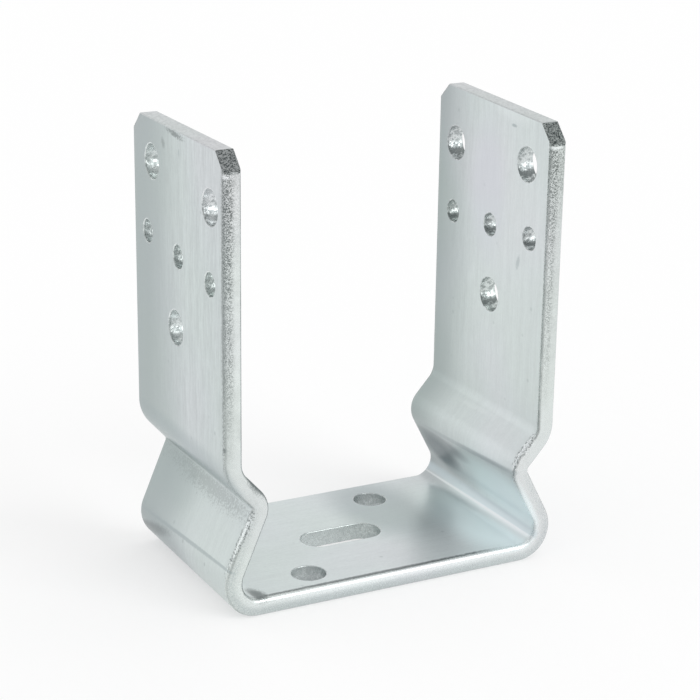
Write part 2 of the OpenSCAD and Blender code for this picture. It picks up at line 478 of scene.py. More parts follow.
class NodeSheet:
    """Short way to add and join the nodes of one material, world or node group."""

    column_width: int = 180

    def __init__(self, tree: Tree) -> None:
        """Starts on a node tree."""
        self.tree = tree
        self.column = 0

    def add(self, kind: str, inputs: Inputs | None = None, **settings: object) -> bpy.types.Node:
        """Adds a node.

        Args:
            kind: Blender's name of the node's type.
            inputs: Names or numbers of its inputs, with the socket or the value that feeds each.
            **settings: The node's properties and their values.

        Returns:
            The new node.
        """
        node = self.tree.nodes.new(kind)
        node.location = (self.column_width * self.column, 0)
        self.column += 1
        for name, value in settings.items():
            setattr(node, name, value)
        for key, value in (inputs or {}).items():
            if isinstance(value, Socket):
                self.tree.links.new(value, node.inputs[key])
            else:
                node.inputs[key].default_value = value
        return node

    def attribute(self, name: str) -> Socket:
        """A vector that the mesh holds at its corners."""
        return self.add("ShaderNodeAttribute", attribute_name=name).outputs["Vector"]

    def math(self, operation: str, first: object, second: object = 0.0) -> Socket:
        """Output of a Math node."""
        return self.add("ShaderNodeMath", {0: first, 1: second}, operation=operation).outputs[0]

    def product(self, first: object, second: object) -> Socket:
        """Two values multiplied."""
        return self.math("MULTIPLY", first, second)

    def total(self, first: object, second: object) -> Socket:
        """Two values added."""
        return self.math("ADD", first, second)

    def vector(self, operation: str, first: object, second: object) -> Socket:
        """Output of a Vector Math node."""
        return self.add("ShaderNodeVectorMath", {0: first, 1: second}, operation=operation).outputs[0]

    def noise(self, place: Socket, noise: Noise) -> Socket:
        """A noise texture.

        Args:
            place: Place on the surface.
            noise: Its scale, detail and roughness.

        Returns:
            Its value, about 0.5.
        """
        stretched = self.vector("MULTIPLY", place, noise.scale)
        inputs = {"Vector": stretched, "Scale": 1.0, "Detail": noise.detail, "Roughness": noise.roughness}
        return self.add("ShaderNodeTexNoise", inputs, noise_dimensions="3D").outputs["Fac"]

    def swing(self, place: Socket, noise: Noise) -> Socket:
        """Value of a noise texture, about zero."""
        return self.math("SUBTRACT", self.noise(place, noise), 0.5)

    def cells(self, place: Socket, scale: object) -> tuple[Socket, Socket, Socket]:
        """A texture of cells.

        Args:
            place: Place on the surface.
            scale: Number of cells in a metre.

        Returns:
            Distance from the cell's middle, and two random values of the cell.
        """
        cells = self.add("ShaderNodeTexVoronoi", {"Vector": place, "Scale": scale}, feature="F1").outputs
        first, second, _ = self.add("ShaderNodeSeparateColor", {0: cells["Color"]}).outputs
        return cells["Distance"], first, second

    def span(self, value: object, ramp: Ramp) -> Socket:
        """A value carried smoothly from one range to another."""
        inputs = dict(enumerate((value, *ramp)))
        return self.add("ShaderNodeMapRange", inputs, interpolation_type="SMOOTHSTEP").outputs[0]

    def parts(self, vector: Socket) -> tuple[Socket, ...]:
        """The three parts of a vector."""
        return tuple(self.add("ShaderNodeSeparateXYZ", {0: vector}).outputs)

    def grey(self, value: Socket) -> Socket:
        """A value as a grey colour."""
        return self.add("ShaderNodeCombineColor", {0: value, 1: value, 2: value}).outputs[0]

    def mix(self, share: object, first: object, second: object, blend_type: str = "MIX") -> Socket:
        """Two colours mixed by a share."""
        inputs = {0: share, 6: first, 7: second}
        return self.add("ShaderNodeMix", inputs, data_type="RGBA", blend_type=blend_type).outputs[2]

    def times(self, first: object, second: object) -> Socket:
        """Two colours multiplied."""
        return self.mix(1.0, first, second, "MULTIPLY")

    def blend(self, share: object, first: object, second: object) -> Socket:
        """Two values mixed by a share."""
        return self.add("ShaderNodeMix", {0: share, 2: first, 3: second}, data_type="FLOAT").outputs[0]

    def group(self, tree: Tree, **inputs: object) -> bpy.types.bpy_prop_collection:
        """Outputs of a node group with its inputs joined or set."""
        named = {name.replace("_", " ").capitalize(): value for name, value in inputs.items()}
        return self.add("ShaderNodeGroup", named, node_tree=tree).outputs


def new_group(name: str, inputs: dict[str, str], outputs: dict[str, str]) -> tuple[Tree, NodeSheet]:
    """Starts a shader node group.

    Args:
        name: Name of the group.
        inputs: Names and socket types of its inputs.
        outputs: Names and socket types of its outputs.

    Returns:
        The group's tree and a sheet on it.
    """
    tree = bpy.data.node_groups.new(name, "ShaderNodeTree")
    for in_out, sockets in (("INPUT", inputs), ("OUTPUT", outputs)):
        for socket, kind in sockets.items():
            tree.interface.new_socket(socket, in_out=in_out, socket_type=kind)
    return tree, NodeSheet(tree)


def empty_sheet(owner: bpy.types.Material | bpy.types.World) -> NodeSheet:
    """Empties the node tree of a material or a world.

    Args:
        owner: The material or world.

    Returns:
        A sheet on its tree.
    """
    owner.use_nodes = True
    owner.node_tree.nodes.clear()
    return NodeSheet(owner.node_tree)


def new_object(name: str, mesh: Mesh) -> bpy.types.Object:
    """Puts a finished mesh into the scene.

    Args:
        name: Name of the object and of its mesh.
        mesh: The mesh, which is freed.

    Returns:
        The new object.
    """
    data = bpy.data.meshes.new(name)
    mesh.to_mesh(data)
    mesh.free()
    made = bpy.data.objects.new(name, data)
    bpy.context.scene.collection.objects.link(made)
    return made


@dataclass
class ZincShop:
    """Builds the materials of the galvanised strip from shared node groups.

    The ramps run along or across the flat blank, or up from the floor, and left and right are its halves.

    Args:
        half_width: Half the width of the strip.
        base_half: Half the length of the flat base.
    """

    half_width: float
    base_half: float

    # Rolling lines, grain and tint of the zinc
    fine_lines: Noise = Noise((170.0, 1500.0, 170.0), 3.0, 0.7)
    broad_lines: Noise = Noise((30.0, 420.0, 30.0))
    fine_share: float = 0.65
    line_spread: Ramp = Ramp(0.3, 0.7, -1.0, 1.0)
    left_streaks: Ramp = Ramp(-80.0 * MM, -105.0 * MM, 0.035, 0.12)
    right_streaks: Ramp = Ramp(80.0 * MM, 105.0 * MM, 0.0, 0.03)
    cloud: Noise = Noise(even(0.6), 3.0, 0.65)
    cell_share: float = 0.45
    grain_spread: Ramp = Ramp(0.25, 0.75)
    dark_grains: Ramp = Ramp(0.75, 0.10)
    tint_noise: Noise = Noise(even(24.0), 1.0)
    tints: tuple[tuple[float, Colour], ...] = (
        (0.36, (0.965, 1.0, 0.985)), (0.5, (0.98, 1.0, 1.005)), (0.68, (0.995, 0.985, 1.008)),
    )

    # Change from the left half to the right, and from the front to the back
    left_to_right: Ramp = Ramp(-1.0 * MM, 1.0 * MM)
    left_part: Ramp = Ramp(0.0, -1.0 * MM)
    right_part: Ramp = Ramp(0.0, 1.0 * MM)
    front_to_back: Ramp = Ramp(-1.0 * MM, 1.0 * MM, 1.0, 0.35)

    # Painted shade towards the back edge, and pits
    shade_drift: Noise = Noise((25.0, 60.0, 60.0))
    shade_wander: float = 9.0 * MM
    left_shade: Ramp = Ramp(-9.0 * MM, 24.0 * MM)
    right_shade: Ramp = Ramp(5.0 * MM, 31.0 * MM)
    shade_start: float = 12.0 * MM
    pit_scale: float = 260.0
    pitted_cells: Ramp = Ramp(0.90, 0.92)
    pit_fade: Ramp = Ramp(0.22, 0.05)
    pit_strength: float = 0.55

    # Local marks: scuffs and tints, and painted light, shade and highlights
    mark_fade: Ramp = Ramp(1.0, 0.35)
    mark_noise: Noise = Noise(even(2200.0), 3.0, 0.75)

    # Painted light and shade in the holes, broken by zinc lumps, by the height in the hole in radii
    lumps: Noise = Noise(even(800.0), 3.0, 0.65)
    lump_reach: float = 1.1
    painted_light_from: Ramp = Ramp(0.0, 0.35)
    painted_light_shares: tuple[float, float] = (0.50, 0.08)
    shade_run_top: Ramp = Ramp(-0.30, -0.46)
    shade_run_foot: Ramp = Ramp(-1.0, -0.78)
    shade_run_shares: tuple[float, float] = (0.45, 0.88)
    base_hole_reach: float = 10.0 * MM
    base_hole_share: float = 0.75
    base_hole_relief: Ramp = Ramp(0.0, 1.0, 1.0, 0.4)

    # Grain of the rolled edges, and their painted dark reflection line
    edge_dirt: float = 0.14
    least_grain: Ramp = Ramp(-1.0 * MM, 1.0 * MM, 0.30, 0.60)
    least_by_height: Ramp = Ramp(88.0 * MM, 118.0 * MM, 0.35, 1.0)
    torn_half: Ramp = Ramp(-0.7 * MM, 1.1 * MM)
    low_grain: Ramp = Ramp(40.0 * MM, 76.0 * MM, 0.08, 0.70)
    high_grain: Ramp = Ramp(80.0 * MM, 115.0 * MM, 0.0, 0.40)
    line_inset: float = 0.5 * MM
    line_fade: Ramp = Ramp(0.45 * MM, 0.10 * MM)
    line_by_face: Ramp = Ramp(OUTER * MM, INNER * MM, 0.40, 0.75)
    line_start: float = 6.0 * MM
    line_noise: Noise = Noise((180.0, 400.0, 400.0), 3.0, 0.7)
    line_breaks: Ramp = Ramp(0.32, 0.62, 0.45, 1.0)

    rolling: Tree = field(init=False)
    grain: Tree = field(init=False)
    tint: Tree = field(init=False)
    spot: Tree = field(init=False)

    def __post_init__(self) -> None:
        """Builds the shared groups once."""
        self.rolling = self._rolling_lines()
        self.grain = self._zinc_grain()
        self.tint = self._passivation()
        self.spot = self._mark_mask()

    def _rolling_lines(self) -> Tree:
        """Builds the group of fine lines along the strip from the rolling mill.

        Returns:
            The group, which puts out lines from -1 to 1.
        """
        tree, sheet = new_group("Rolling lines", {"Blank": VECTOR}, {"Lines": NUMBER})
        blank = sheet.add("NodeGroupInput").outputs["Blank"]
        fine = sheet.product(sheet.noise(blank, self.fine_lines), self.fine_share)
        broad = sheet.product(sheet.noise(blank, self.broad_lines), 1.0 - self.fine_share)
        sheet.add("NodeGroupOutput", {"Lines": sheet.span(sheet.total(fine, broad), self.line_spread)})
        return tree

    def _zinc_grain(self) -> Tree:
        """Builds the group of small bright and dark crystals of the zinc.

        Returns:
            The group, which puts out the grain from 0 to 1 and a smoother relief of about the same size.
        """
        tree, sheet = new_group(
            "Zinc grain", {"Place": VECTOR, "Size": NUMBER}, {"Grain": NUMBER, "Relief": NUMBER}
        )
        given = sheet.add("NodeGroupInput").outputs
        scale = sheet.math("DIVIDE", 1.0, given["Size"])
        _, cell, _ = sheet.cells(given["Place"], scale)
        cloud = sheet.noise(sheet.vector("MULTIPLY", given["Place"], scale), self.cloud)
        both = sheet.total(sheet.product(cell, self.cell_share), sheet.product(cloud, 1.0 - self.cell_share))
        sheet.add("NodeGroupOutput", {"Grain": sheet.span(both, self.grain_spread), "Relief": cloud})
        return tree

    def _passivation(self) -> Tree:
        """Builds the group of broad faint tints, from green to blue to lavender, of the passivated zinc.

        Returns:
            The group, which puts out the tinted colour.
        """
        tree, sheet = new_group("Passivation tint", {"Place": VECTOR, "Colour": COLOUR}, {"Colour": COLOUR})
        given = sheet.add("NodeGroupInput").outputs
        hue = sheet.add("ShaderNodeValToRGB", {"Fac": sheet.noise(given["Place"], self.tint_noise)})
        stops = hue.color_ramp.elements
        stops.new(self.tints[1][0])
        for stop, (position, tint) in zip(stops, self.tints):
            stop.position, stop.color = position, opaque(tint)
        sheet.add("NodeGroupOutput", {"Colour": sheet.times(given["Colour"], hue.outputs["Color"])})
        return tree

    def _mark_mask(self) -> Tree:
        """Builds the group of one local mark.

        Returns:
            The group, which puts out the mark's mask from 0 to 1.
        """
        tree, sheet = new_group(
            "Mark mask",
            {"Blank": VECTOR, "Middle": VECTOR, "Turn": NUMBER, "Half size": VECTOR, "Wander": NUMBER},
            {"Mask": NUMBER},
        )
        given = sheet.add("NodeGroupInput").outputs
        offset = sheet.vector("SUBTRACT", given["Blank"], given["Middle"])
        turning = {"Vector": offset, "Angle": given["Turn"]}
        turned = sheet.add("ShaderNodeVectorRotate", turning, rotation_type="Z_AXIS").outputs[0]
        share = sheet.vector("DIVIDE", turned, given["Half size"])
        reach = sheet.add("ShaderNodeVectorMath", {0: share}, operation="LENGTH").outputs["Value"]
        mask = sheet.span(sheet.total(reach, given["Wander"]), self.mark_fade)
        sheet.add("NodeGroupOutput", {"Mask": mask})
        return tree

    def material(self, zone: Zone, finish: ZincFinish) -> bpy.types.Material:
        """Material of one zone.

        Args:
            zone: The zone of the strip's surface.
            finish: Its look.

        Returns:
            The new material.
        """
        material = bpy.data.materials.new(f"zinc_{zone.name.lower()}")
        sheet = empty_sheet(material)
        blank = sheet.attribute(BLANK_ATTRIBUTE)
        place = sheet.add("ShaderNodeTexCoord").outputs["Object"]
        zinc = sheet.group(self.grain, place=place, size=finish.grain_size)
        grain = zinc["Grain"]
        dark = opaque(finish.dark_colour)
        spots = sheet.product(sheet.span(grain, self.dark_grains), finish.grain_contrast)
        relief = zinc["Relief"] if zone in (Zone.FACE, Zone.WALL) else grain
        height = sheet.product(relief, finish.grain_depth)
        colour: object = opaque(finish.colour)

        if zone in (Zone.FACE, Zone.EDGE):
            colour = sheet.times(colour, self._streaks(sheet, blank))
        if zone is Zone.FACE:
            # Painted shade towards the back edge of the standing parts
            colour = sheet.mix(self._back_shade(sheet, blank), colour, dark)
            spots = sheet.math("MAXIMUM", spots, self._pits(sheet, place))
        if zone is Zone.EDGE:
            rough_part = self._rough_part(sheet, blank, place)
            spots = sheet.product(sheet.total(spots, self.edge_dirt), rough_part)
            # Painted dark reflection along the rounding of the edges
            spots = sheet.math("MAXIMUM", spots, self._edge_painted_dark_line(sheet, blank))
            height = sheet.product(height, rough_part)
        colour = sheet.mix(spots, colour, dark)
        if zone is Zone.WALL:
            # Painted light over the walls of the base's holes, whose relief is also flattened
            base_hole_light = self._base_hole_painted_light(sheet, blank)
            # Painted light in the upper part of the leg holes, and painted shade with zinc lumps below their
            # middle
            pale, run = self._hole_wall_light_and_shade(sheet, blank, place)
            for share, zinc_colour in ((pale, PAINTED_LIGHT_WHITE), (run, SOOT_AND_SHADE), (base_hole_light, PAINTED_LIGHT_ASH)):
                colour = sheet.mix(share, colour, opaque(zinc_colour))
            height = sheet.product(height, sheet.span(base_hole_light, self.base_hole_relief))
        if zone in (Zone.FACE, Zone.EDGE):
            colour = self._marked(sheet, blank, colour)
        colour = sheet.group(self.tint, place=place, colour=colour)["Colour"]

        spread = finish.roughness_spread / 2
        roughness = sheet.span(grain, Ramp(0.0, 1.0, finish.roughness + spread, finish.roughness - spread))
        bump = sheet.add("ShaderNodeBump", {"Strength": 1.0, "Distance": 1.0, "Height": height})
        shader = sheet.add("ShaderNodeBsdfPrincipled", {
            "Base Color": colour,
            "Metallic": finish.metallic,
            "Roughness": roughness,
            "Normal": bump.outputs["Normal"],
        })
        sheet.add("ShaderNodeOutputMaterial", {"Surface": shader.outputs["BSDF"]})
        return material

    def _streaks(self, sheet: NodeSheet, blank: Socket) -> Socket:
        """Rolling lines, stronger on the legs than near the folds.

        Args:
            sheet: Sheet of the material.
            blank: Place on the flat blank.

        Returns:
            A grey to multiply the colour by.
        """
        lines = sheet.group(self.rolling, blank=blank)["Lines"]
        along, _, _ = sheet.parts(blank)
        strength = sheet.total(sheet.span(along, self.left_streaks), sheet.span(along, self.right_streaks))
        return sheet.grey(sheet.total(1.0, sheet.product(lines, strength)))

    def _back_shade(self, sheet: NodeSheet, blank: Socket) -> Socket:
        """Painted shade on the standing parts of the strip, darker towards their back edge.

        Args:
            sheet: Sheet of the material.
            blank: Place on the flat blank.

        Returns:
            Its mask.
        """
        along, across, _ = sheet.parts(blank)
        drift = sheet.swing(blank, self.shade_drift)
        across = sheet.total(across, sheet.product(drift, self.shade_wander))
        left = sheet.product(sheet.span(along, self.left_part), sheet.span(across, self.left_shade))
        right = sheet.product(sheet.span(along, self.right_part), sheet.span(across, self.right_shade))
        return sheet.product(sheet.total(left, right), self._standing(sheet, along, self.shade_start))

    def _standing(self, sheet: NodeSheet, along: Socket, start: float) -> Socket:
        """Mask of the strip beyond the flat base, full at a distance from it."""
        return sheet.span(sheet.math("ABSOLUTE", along), Ramp(self.base_half, self.base_half + start))

    def _pits(self, sheet: NodeSheet, place: Socket) -> Socket:
        """Sparse small dark pits.

        Args:
            sheet: Sheet of the material.
            place: Place on the object.

        Returns:
            Their mask.
        """
        distance, _, chance = sheet.cells(place, self.pit_scale)
        pits = sheet.product(sheet.span(chance, self.pitted_cells), sheet.span(distance, self.pit_fade))
        return sheet.product(pits, self.pit_strength)

    def _marked(self, sheet: NodeSheet, blank: Socket, colour: Socket) -> Socket:
        """Lays all the local marks over a colour.

        Args:
            sheet: Sheet of the material.
            blank: Place on the flat blank.
            colour: The colour under the marks.

        Returns:
            The colour with the marks.
        """
        wander = sheet.swing(blank, self.mark_noise)
        for mark in MARKS.values():
            mask = sheet.group(
                self.spot, blank=blank, middle=mark.middle, turn=math.radians(mark.turn),
                half_size=mark.half_size, wander=sheet.product(wander, mark.ragged),
            )["Mask"]
            colour = sheet.mix(sheet.product(mask, mark.strength), colour, opaque(mark.colour))
        return colour

    def _hole_wall_light_and_shade(self, sheet: NodeSheet, blank: Socket, place: Socket) -> tuple[Socket, Socket]:
        """Painted light and shade, broken by zinc lumps, on the walls of the holes in the legs.

        Args:
            sheet: Sheet of the material.
            blank: Place on the flat blank.
            place: Place on the object.

        Returns:
            Shares of pale painted light in a hole's upper part and of dark painted shade, lumpy, below its
            middle.
        """
        up, _, _ = sheet.parts(sheet.attribute(HOLE_ATTRIBUTE))
        lumps = sheet.swing(place, self.lumps)
        up = sheet.total(up, sheet.product(lumps, self.lump_reach))
        along, _, _ = sheet.parts(blank)
        right = sheet.span(along, self.left_to_right)
        # Painted light in the upper part of the hole
        pale = sheet.product(sheet.span(up, self.painted_light_from), sheet.blend(right, *self.painted_light_shares))
        # Painted shade below the middle, broken by zinc lumps
        run = sheet.product(sheet.span(up, self.shade_run_top), sheet.span(up, self.shade_run_foot))
        return pale, sheet.product(run, sheet.blend(right, *self.shade_run_shares))

    def _base_hole_painted_light(self, sheet: NodeSheet, blank: Socket) -> Socket:
        """Painted light: an even light grey over the walls of the holes in the base.

        Args:
            sheet: Sheet of the material.
            blank: Place on the flat blank.

        Returns:
            Its share, which is none in the holes of the legs.
        """
        along, _, _ = sheet.parts(blank)
        reach = Ramp(self.base_half + self.base_hole_reach, self.base_half, 0.0, self.base_hole_share)
        return sheet.span(sheet.math("ABSOLUTE", along), reach)

    def _rough_part(self, sheet: NodeSheet, blank: Socket, place: Socket) -> Socket:
        """Grain of the rolled edges, most towards -X, at the front and the top, and little near the base.

        Args:
            sheet: Sheet of the material.
            blank: Place on the flat blank.
            place: Place on the object.

        Returns:
            Its share.
        """
        along, across, through = sheet.parts(blank)
        _, _, up = sheet.parts(place)
        inward = sheet.product(through, sheet.math("SIGN", along))
        least = sheet.product(sheet.span(along, self.least_grain), sheet.span(up, self.least_by_height))
        torn = sheet.blend(sheet.span(inward, self.torn_half), least, 1.0)
        torn = sheet.product(torn, sheet.span(across, self.front_to_back))
        by_height = sheet.total(sheet.span(up, self.low_grain), sheet.span(up, self.high_grain))
        return sheet.product(torn, by_height)

    def _edge_painted_dark_line(self, sheet: NodeSheet, blank: Socket) -> Socket:
        """Painted dark reflection: a thin line along each rounding of the edges, strongest on the post's
        side, none on the base.

        Args:
            sheet: Sheet of the material.
            blank: Place on the flat blank.

        Returns:
            Its mask.
        """
        along, across, through = sheet.parts(blank)
        from_edge = sheet.math("SUBTRACT", self.half_width, sheet.math("ABSOLUTE", across))
        gap = sheet.math("ABSOLUTE", sheet.math("SUBTRACT", from_edge, self.line_inset))
        line = sheet.product(sheet.span(gap, self.line_fade), sheet.span(through, self.line_by_face))
        line = sheet.product(line, self._standing(sheet, along, self.line_start))
        return sheet.product(line, sheet.span(sheet.noise(blank, self.line_noise), self.line_breaks))


@dataclass
class PostBase:
    """The folded strip, made as the real one is: a blank is clipped, punched, rounded and then folded.

    The overall width, depth and height come from the frame, and the rest are the part's own sizes.

    Args:
        low: Lowest corner of the part's box.
        high: Highest corner of the part's box.
    """

    low: Vector
    high: Vector
    thickness: float = 5.0 * MM
    edge_radius: float = 1.2 * MM
    back_edge_radius: float = 0.6 * MM
    edge_strip: float = 2.2 * MM
    corner_clip: float = 5.0 * MM
    end_rounding: float = 0.3 * MM
    rim_rounding: float = 0.3 * MM
    right_end_skew: float = math.radians(2.0)
    left_leg_rise: float = 0.5 * MM
    side_swell: float = 0.3 * MM

    right_seat_height: float = 37.5 * MM
    left_seat_height: float = 41.0 * MM
    seat_depth: float = 8.5 * MM
    seat_slope: float = math.radians(42.0)
    upper_hollow_radius: float = 5.0 * MM
    upper_round_radius: float = 12.0 * MM
    nose_hollow_radius: float = 0.8 * MM
    nose_round_radius: float = 7.8 * MM
    base_fold_radius: float = 5.0 * MM

    bolt_radius: float = 4.8 * MM
    screw_radius: float = 3.2 * MM
    right_group_drop: float = 35.0 * MM
    left_group_drop: float = 34.0 * MM
    right_group_turn: float = math.radians(2.5)
    left_group_turn: float = math.radians(5.75)
    bolt_pitch: float = 38.4 * MM
    bolt_row_step: float = 20.4 * MM
    screw_pitch: float = 20.8 * MM
    anchor_offset: tuple[float, float] = (20.0 * MM, 19.75 * MM)
    slot_place: tuple[float, float] = (-1.5 * MM, -0.75 * MM)
    slot_radius: float = 5.3 * MM
    slot_straight: float = 14.0 * MM

    upper_steps: int = 12
    nose_steps: int = 16
    base_steps: int = 24
    edge_segments: int = 8
    rim_segments: int = 3
    end_segments: int = 3
    stock_lengths: int = 4
    upright_limit: float = 0.01
    shading_weight: int = 100

    paths: dict[Side, FoldedPath] = field(init=False)
    holes: list[Hole] = field(init=False)

    def __post_init__(self) -> None:
        """Works out the folded mid-line of each half and the places of the holes."""
        self.paths = {
            Side.RIGHT: self._path(self.right_seat_height, self.leg_height),
            Side.LEFT: self._path(self.left_seat_height, self.leg_height + self.left_leg_rise),
        }
        self.holes = self._leg_holes(Side.RIGHT) + self._leg_holes(Side.LEFT) + self._base_holes()

    @property
    def width(self) -> float:
        """Width of the strip."""
        return self.high.y - self.low.y

    @property
    def leg_height(self) -> float:
        """Height of the middle of each leg's top end, below the high corner of the end cut out of square."""
        return self.high.z - self.low.z - (self.width / 2 - self.corner_clip) * math.sin(self.right_end_skew)

    def _path(self, seat_height: float, end_height: float) -> FoldedPath:
        """Folded mid-line of one half, with the flare as the tangent from the nose to the base fold.

        Args:
            seat_height: Height of the sharp corner between leg and seat.
            end_height: Height of the middle of the leg's top end.

        Returns:
            The mid-line, as for the +X side.
        """
        half = self.thickness / 2
        leg_x = self.high.x - half
        nose = Vector((leg_x - self.seat_depth, seat_height - self.seat_depth / math.tan(self.seat_slope)))
        base_mid_radius = self.base_fold_radius + half
        centre = Vector((leg_x - base_mid_radius, half + base_mid_radius))
        reach = centre - nose
        flare = math.pi / 2 + math.atan2(reach.y, reach.x) + math.asin(base_mid_radius / reach.length)
        foot = Vector((nose.x + (nose.y - half) * math.tan(flare), half))
        shoulder = Vector((leg_x, seat_height))
        along_base = Vector((1.0, 0.0))
        up_flare = Vector((-math.sin(flare), math.cos(flare)))
        up_seat = Vector((math.sin(self.seat_slope), math.cos(self.seat_slope)))
        up_leg = Vector((0.0, 1.0))
        folds = [
            Fold(foot, along_base, up_flare, self.base_fold_radius, self.base_fold_radius + self.thickness),
            Fold(nose, up_flare, up_seat, self.nose_hollow_radius, self.nose_round_radius),
            Fold(shoulder, up_seat, up_leg, self.upper_hollow_radius, self.upper_round_radius),
        ]
        return FoldedPath(folds, Vector((0.0, half)), Vector((leg_x, end_height)), self.thickness)

    def _leg_holes(self, side: Side) -> list[Hole]:
        """Bolt and screw holes of one leg.

        Args:
            side: The leg's side.

        Returns:
            The holes, with their places on the flat blank.
        """
        pair, row = self.bolt_pitch / 2, self.bolt_row_step
        group = [(across, up, self.bolt_radius) for across, up in ((-pair, row), (pair, row), (0.0, -row))]
        group += [(step * self.screw_pitch, 0.0, self.screw_radius) for step in (-1, 0, 1)]
        angle, drop = self.right_group_turn, self.right_group_drop
        if side is Side.LEFT:
            angle, drop = self.left_group_turn, self.left_group_drop
        turn = Matrix.Rotation(-angle, 2)
        middle = self.paths[side].length - drop
        holes = []
        for across, up, radius in group:
            place = turn @ Vector((across, up))
            holes.append(Hole(side.value * (middle + place.y), side.value * place.x, radius))
        return holes

    def _base_holes(self) -> list[Hole]:
        """Anchor holes and slot of the base.

        Returns:
            The holes, with their places on the flat blank.
        """
        middle, offset = Vector(self.slot_place), Vector(self.anchor_offset)
        anchors = [Hole(*(middle + offset * side.value), self.bolt_radius) for side in Side]
        return anchors + [Hole(*middle, self.slot_radius, self.slot_straight)]

    def _end_axes(self, side: Side) -> tuple[Vector, Vector, Vector]:
        """Axes of an end of the blank.

        Args:
            side: The end's side.

        Returns:
            The end's middle, the direction out of it and the direction along it.
        """
        skew = self.right_end_skew if side is Side.RIGHT else 0.0
        middle = Vector((side.value * self.paths[side].length, 0.0))
        out = Vector((side.value * math.cos(skew), -math.sin(skew)))
        return middle, out, Vector((math.sin(skew), math.cos(skew)))

    def _stations(self) -> list[float]:
        """Places along the blank where the sheet is cut across, so that its folds can bend.

        Returns:
            The places.
        """
        steps = (self.base_steps, self.nose_steps, self.upper_steps)
        stations = []
        for side, path in self.paths.items():
            for number, count in enumerate(steps):
                first, last = path.breaks[2 * number + 1], path.breaks[2 * number + 2]
                shares = [step / count for step in range(count + 1)]
                stations += [side.value * (first + (last - first) * share) for share in shares]
        return stations

    def _sheet(self) -> Mesh:
        """Flat blank without thickness, clipped at its corners, and cut across its folds and along its edges.

        Returns:
            The new mesh.
        """
        mesh = bmesh.new()
        bmesh.ops.create_grid(mesh, x_segments=1, y_segments=1, size=0.5)
        stock = self.stock_lengths * self.high.z
        bmesh.ops.scale(mesh, vec=(stock, self.width, 1.0), verts=mesh.verts)
        for side in Side:
            middle, out, along = self._end_axes(side)
            self._cut(mesh, middle, out, True)
            for edge in (-1, 1):
                corner = middle + along * (edge * (self.width / 2 - self.corner_clip))
                self._cut(mesh, corner, out + along * edge, True)
        for station in self._stations():
            self._cut(mesh, Vector((station, 0.0)), Vector((1.0, 0.0)), False)
        for edge in (-1, 1):
            strip = Vector((0.0, edge * (self.width / 2 - self.edge_strip)))
            self._cut(mesh, strip, Vector((0.0, 1.0)), False)
        return mesh

    @staticmethod
    def _cut(mesh: Mesh, point: Vector, normal: Vector, trim: bool) -> None:
        """Cuts the sheet along a line.

        Args:
            mesh: The sheet.
            point: A point on the line.
            normal: Direction across the line.
            trim: Whether what lies beyond the line goes.
        """
        bmesh.ops.bisect_plane(
            mesh, geom=mesh.verts[:] + mesh.edges[:] + mesh.faces[:], dist=TINY / 10,
            plane_co=point.to_3d(), plane_no=normal.to_3d().normalized(), clear_outer=trim,
        )

    def _punch(self, mesh: Mesh) -> None:
        """Punches the holes into the flats that hold them.

        Args:
            mesh: The sheet.
        """
        inside_strips = self.width / 2 - self.edge_strip
        for flat in [face for face in mesh.faces if abs(face.calc_center_median().y) < inside_strips]:
            span = [vert.co.x for vert in flat.verts]
            inside = [hole for hole in self.holes if min(span) < hole.along < max(span)]
            if not inside:
                continue
            outline = flat.edges[:]
            bmesh.ops.delete(mesh, geom=[flat], context="FACES_ONLY")
            for hole in inside:
                outline += self._ring(mesh, hole)
            bmesh.ops.triangle_fill(mesh, use_beauty=True, edges=outline, normal=(0.0, 0.0, 1.0))

    @staticmethod
    def _ring(mesh: Mesh, hole: Hole) -> list[bmesh.types.BMEdge]:
        """Draws the outline of a hole.

        Args:
            mesh: The sheet.
            hole: The hole.

        Returns:
            The outline's loose edges, in the same order at each run.
        """
        circle = bmesh.ops.create_circle(mesh, cap_ends=False, segments=hole.segments, radius=hole.radius)
        ring = circle["verts"]
        half_step = Matrix.Rotation(math.pi / hole.segments, 3, "Z")
        bmesh.ops.rotate(mesh, verts=ring, cent=(0.0, 0.0, 0.0), matrix=half_step)
        for sign in (-1, 1):
            end = [vert for vert in ring if vert.co.x * sign > 0]
            bmesh.ops.translate(mesh, verts=end, vec=(sign * hole.straight / 2, 0.0, 0.0))
        bmesh.ops.translate(mesh, verts=ring, vec=(hole.along, hole.across, 0.0))
        return list(dict.fromkeys(edge for vert in ring for edge in vert.link_edges))

    def _thicken(self, mesh: Mesh) -> None:
        """Gives the sheet its thickness, evenly about the mid-plane.

        Args:
            mesh: The sheet.
        """
        bmesh.ops.recalc_face_normals(mesh, faces=mesh.faces)
        bmesh.ops.solidify(mesh, geom=mesh.faces[:], thickness=self.thickness)
        lowest = min(vert.co.z for vert in mesh.verts)
        bmesh.ops.translate(mesh, vec=(0.0, 0.0, -self.thickness / 2 - lowest), verts=mesh.verts)
        bmesh.ops.recalc_face_normals(mesh, faces=mesh.faces)

